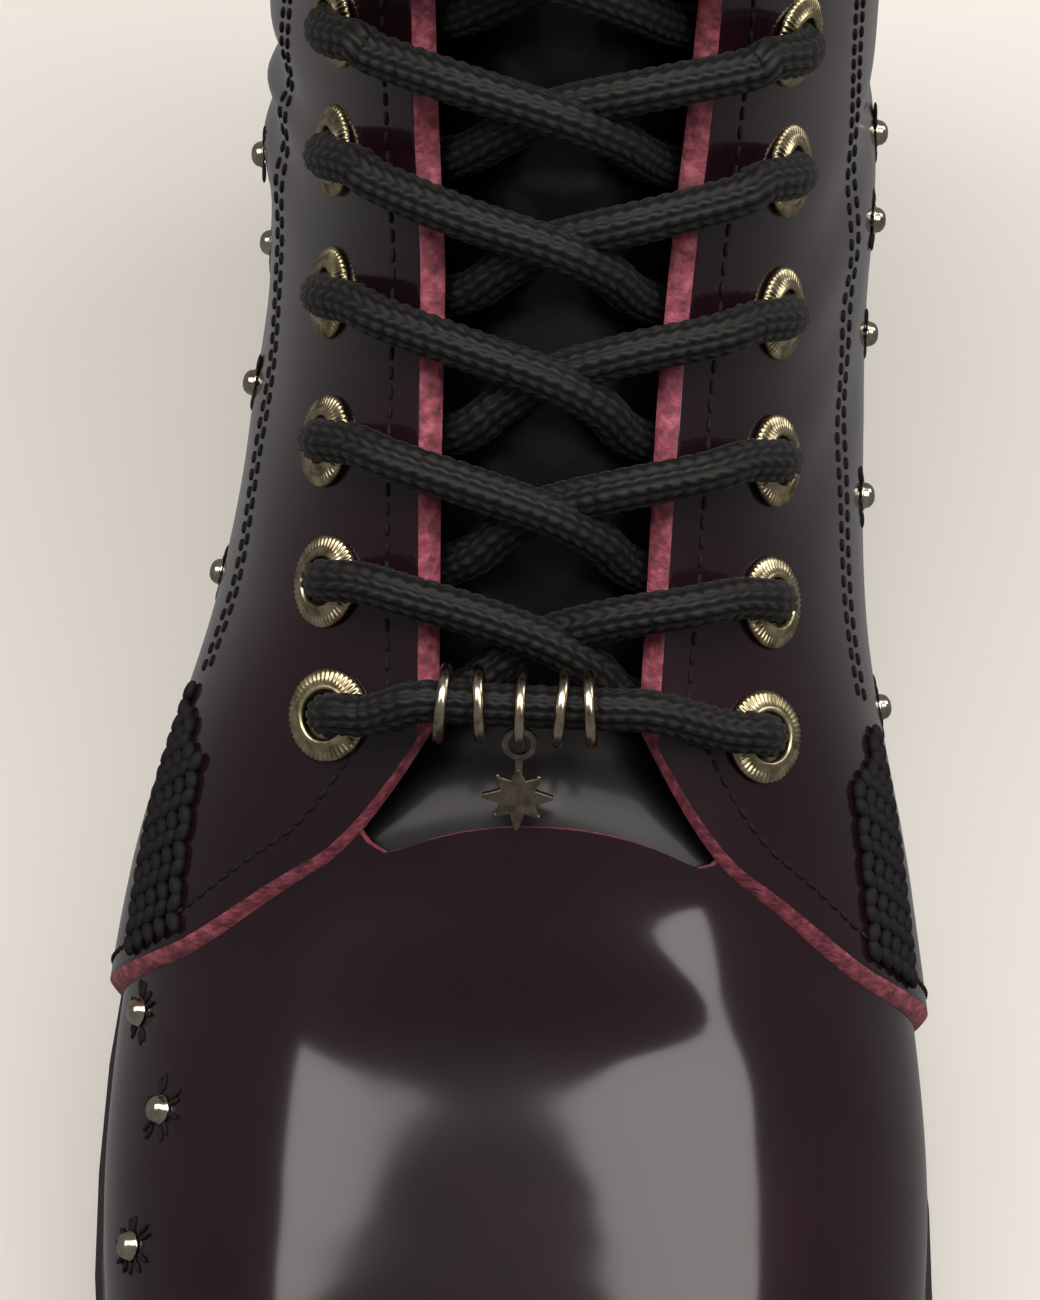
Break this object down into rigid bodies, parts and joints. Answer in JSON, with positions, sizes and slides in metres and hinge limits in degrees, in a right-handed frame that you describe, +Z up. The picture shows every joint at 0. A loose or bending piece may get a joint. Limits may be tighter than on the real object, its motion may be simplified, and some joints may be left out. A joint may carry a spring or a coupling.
{
  "type": "lace-up boot",
  "caption": "Glossy aubergine-black leather lace-up ankle boot with brass eyelets, braided lace, wire rings and a star charm",
  "frame": {"origin": "on the floor under the middle of the boot's bounding box", "axes": "+Z up, +Y from toe to heel, +X towards the inner side of the right foot"},
  "size_m": [0.1118, 0.2874, 0.2082],
  "materials": {
    "sole_rubber": "matt black moulded rubber",
    "welt": "satin black welt",
    "lining": "matt black lining",
    "glossy_leather": "high-gloss near-black aubergine leather",
    "tongue_leather": "glossy black leather",
    "brass": "antique brass, worn bright on the rims",
    "lace": "round braided black cord",
    "ring_wire": "aged wire between brass and silver",
    "pewter": "dull dark pewter with a warm tone"
  },
  "bodies": {
    "boot": {"outsole": "sole_rubber", "heel": "sole_rubber", "midsole": "welt", "insole": "lining", "upper": "glossy_leather", "tongue": "tongue_leather", "eyelet_outer_1": "brass", "eyelet_inner_1": "brass", "eyelet_outer_2": "brass", "eyelet_inner_2": "brass", "eyelet_outer_3": "brass", "eyelet_inner_3": "brass", "eyelet_outer_4": "brass", "eyelet_inner_4": "brass", "eyelet_outer_5": "brass", "eyelet_inner_5": "brass", "eyelet_outer_6": "brass", "eyelet_inner_6": "brass", "eyelet_outer_7": "brass", "eyelet_inner_7": "brass", "eyelet_outer_8": "brass", "eyelet_inner_8": "brass", "lace_bar": "lace", "lace_crossing_1": "lace", "lace_crossing_2": "lace", "lace_crossing_3": "lace", "lace_crossing_4": "lace", "lace_crossing_5": "lace", "lace_crossing_6": "lace", "lace_crossing_7": "lace", "stud_vamp_1": "brass", "stud_vamp_2": "brass", "stud_vamp_3": "brass", "stud_vamp_4": "brass", "stud_outer_1": "brass", "stud_outer_2": "brass", "stud_outer_3": "brass", "stud_outer_4": "brass", "stud_inner_1": "brass", "stud_inner_2": "brass", "stud_inner_3": "brass", "stud_inner_4": "brass", "stud_inner_5": "brass"},
    "first_ring": {"ring_1": "ring_wire"},
    "second_ring": {"ring_2": "ring_wire"},
    "charm_ring": {"ring_3": "ring_wire"},
    "fourth_ring": {"ring_4": "ring_wire"},
    "fifth_ring": {"ring_5": "ring_wire"},
    "hanging_charm": {"charm": "pewter"}
  },
  "joints": [
    {"name": "first_ring_slide", "type": "slide", "parent": "boot", "child": "first_ring", "axis": [1, 0, 0], "range_m": [-0.0004, 0.0009]},
    {"name": "second_ring_slide", "type": "slide", "parent": "boot", "child": "second_ring", "axis": [1, 0, 0], "range_m": [-0.0009, 0.0008]},
    {"name": "charm_ring_turn", "type": "hinge", "parent": "boot", "child": "charm_ring", "pos_m": [-0.00058, -0.03313, 0.10956], "axis": [-1, 0, 0], "range_deg": [0, 60]},
    {"name": "fourth_ring_slide", "type": "slide", "parent": "boot", "child": "fourth_ring", "axis": [1, 0, 0], "range_m": [-0.0009, 0.0004]},
    {"name": "fifth_ring_slide", "type": "slide", "parent": "boot", "child": "fifth_ring", "axis": [1, 0, 0], "range_m": [-0.0004, 0.0035]},
    {"name": "charm_swing", "type": "hinge", "parent": "charm_ring", "child": "hanging_charm", "pos_m": [-0.00058, -0.03546, 0.10554], "axis": [0, 0.866, -0.5], "range_deg": [-25, 25]}
  ]
}
